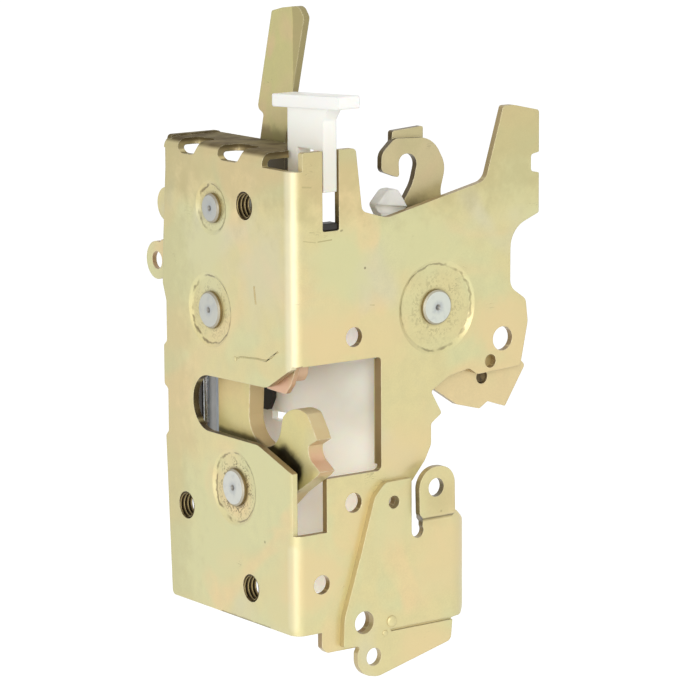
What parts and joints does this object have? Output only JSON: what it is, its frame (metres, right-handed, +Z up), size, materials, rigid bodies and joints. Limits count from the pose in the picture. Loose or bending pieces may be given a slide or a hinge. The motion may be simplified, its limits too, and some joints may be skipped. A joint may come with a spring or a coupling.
{
  "type": "truck door lock",
  "caption": "Folded plate rotary door latch: fork and pawl in an open mouth, tall lock lever, nylon slider, side-plate handle levers and a lower bracket",
  "frame": {"origin": "centre of the upper tapped hole, on the shut face's outer plane", "axes": "+Z up along the lock's height, -X out of the shut face towards the door jamb, -Y out of the side wall; the mechanism lies behind both walls at +X and +Y"},
  "size_m": [0.0868, 0.0882, 0.1885],
  "materials": {
    "yellow_zinc_frame": "yellow-passivated zinc plate, satin, faint green and pink tints",
    "yellow_zinc_bracket": "yellow-passivated zinc plate, satin",
    "yellow_zinc_fork": "yellow-passivated zinc plate over sheared edges",
    "yellow_zinc_lever": "yellow-passivated zinc plate, satin",
    "bright_zinc": "clear zinc plate, staked ends",
    "dull_zinc": "dull clear zinc plate",
    "spring_steel": "bright drawn wire",
    "white_nylon": "natural nylon, slightly translucent",
    "grey_nylon": "moulded nylon",
    "pale_plastic": "moulded guard, matt",
    "black_rubber": "moulded rubber"
  },
  "bodies": {
    "frame": {"frame": "yellow_zinc_frame", "back_plate": "dull_zinc", "lower_bracket": "yellow_zinc_bracket", "fork_pin": "bright_zinc", "pawl_pin": "bright_zinc", "lock_pin": "bright_zinc", "lever_pivot": "bright_zinc", "fork_washer": "dull_zinc", "lever_washer": "dull_zinc", "inner_cover": "pale_plastic", "striker_buffer": "black_rubber", "guard_pad": "black_rubber", "fork_spring": "spring_steel", "pawl_spring": "spring_steel", "lever_spring": "spring_steel"},
    "latch_fork": {"latch_fork": "yellow_zinc_fork", "fork_bush": "bright_zinc"},
    "pawl": {"pawl": "yellow_zinc_fork", "pawl_lever": "yellow_zinc_lever", "pawl_bush": "bright_zinc"},
    "lock_lever": {"lock_lever": "yellow_zinc_lever", "lock_cam": "yellow_zinc_lever", "lock_hub": "bright_zinc"},
    "lock_slider": {"lock_slider": "white_nylon"},
    "release_lever": {"release_lever": "yellow_zinc_lever"},
    "hook_lever": {"hook_lever": "yellow_zinc_lever", "rod_clip": "grey_nylon"}
  },
  "joints": [
    {"name": "fork_turn", "type": "hinge", "parent": "frame", "child": "latch_fork", "pos_m": [0.007, 0.0066, -0.0815], "axis": [-1, 0, 0], "range_deg": [-22, 44]},
    {"name": "pawl_turn", "type": "hinge", "parent": "frame", "child": "pawl", "pos_m": [0.007, 0.0178, -0.0318], "axis": [1, 0, 0], "range_deg": [-3, 3.8], "stiffness_Nm_per_rad": 0.2},
    {"name": "lock_lever_turn", "type": "hinge", "parent": "frame", "child": "lock_lever", "pos_m": [0.012, 0.0167, -0.0025], "axis": [1, 0, 0], "range_deg": [0, 19.8]},
    {"name": "lock_slide", "type": "slide", "parent": "frame", "child": "lock_slider", "axis": [0, 0, 1], "range_m": [-0.0085, 0]},
    {"name": "release_turn", "type": "hinge", "parent": "frame", "child": "release_lever", "pos_m": [0.0495, -0.0198, -0.0306], "axis": [0, -1, 0], "range_deg": [-13, 0], "stiffness_Nm_per_rad": 0.25},
    {"name": "hook_turn", "type": "hinge", "parent": "frame", "child": "hook_lever", "pos_m": [0.0495, -0.0163, -0.0306], "axis": [0, -1, 0], "range_deg": [-13, 0], "stiffness_Nm_per_rad": 0.25}
  ],
  "couplings": [
    {"joint": "lock_slide", "follows": "lock_lever_turn", "m_per_rad": -0.024307}
  ]
}
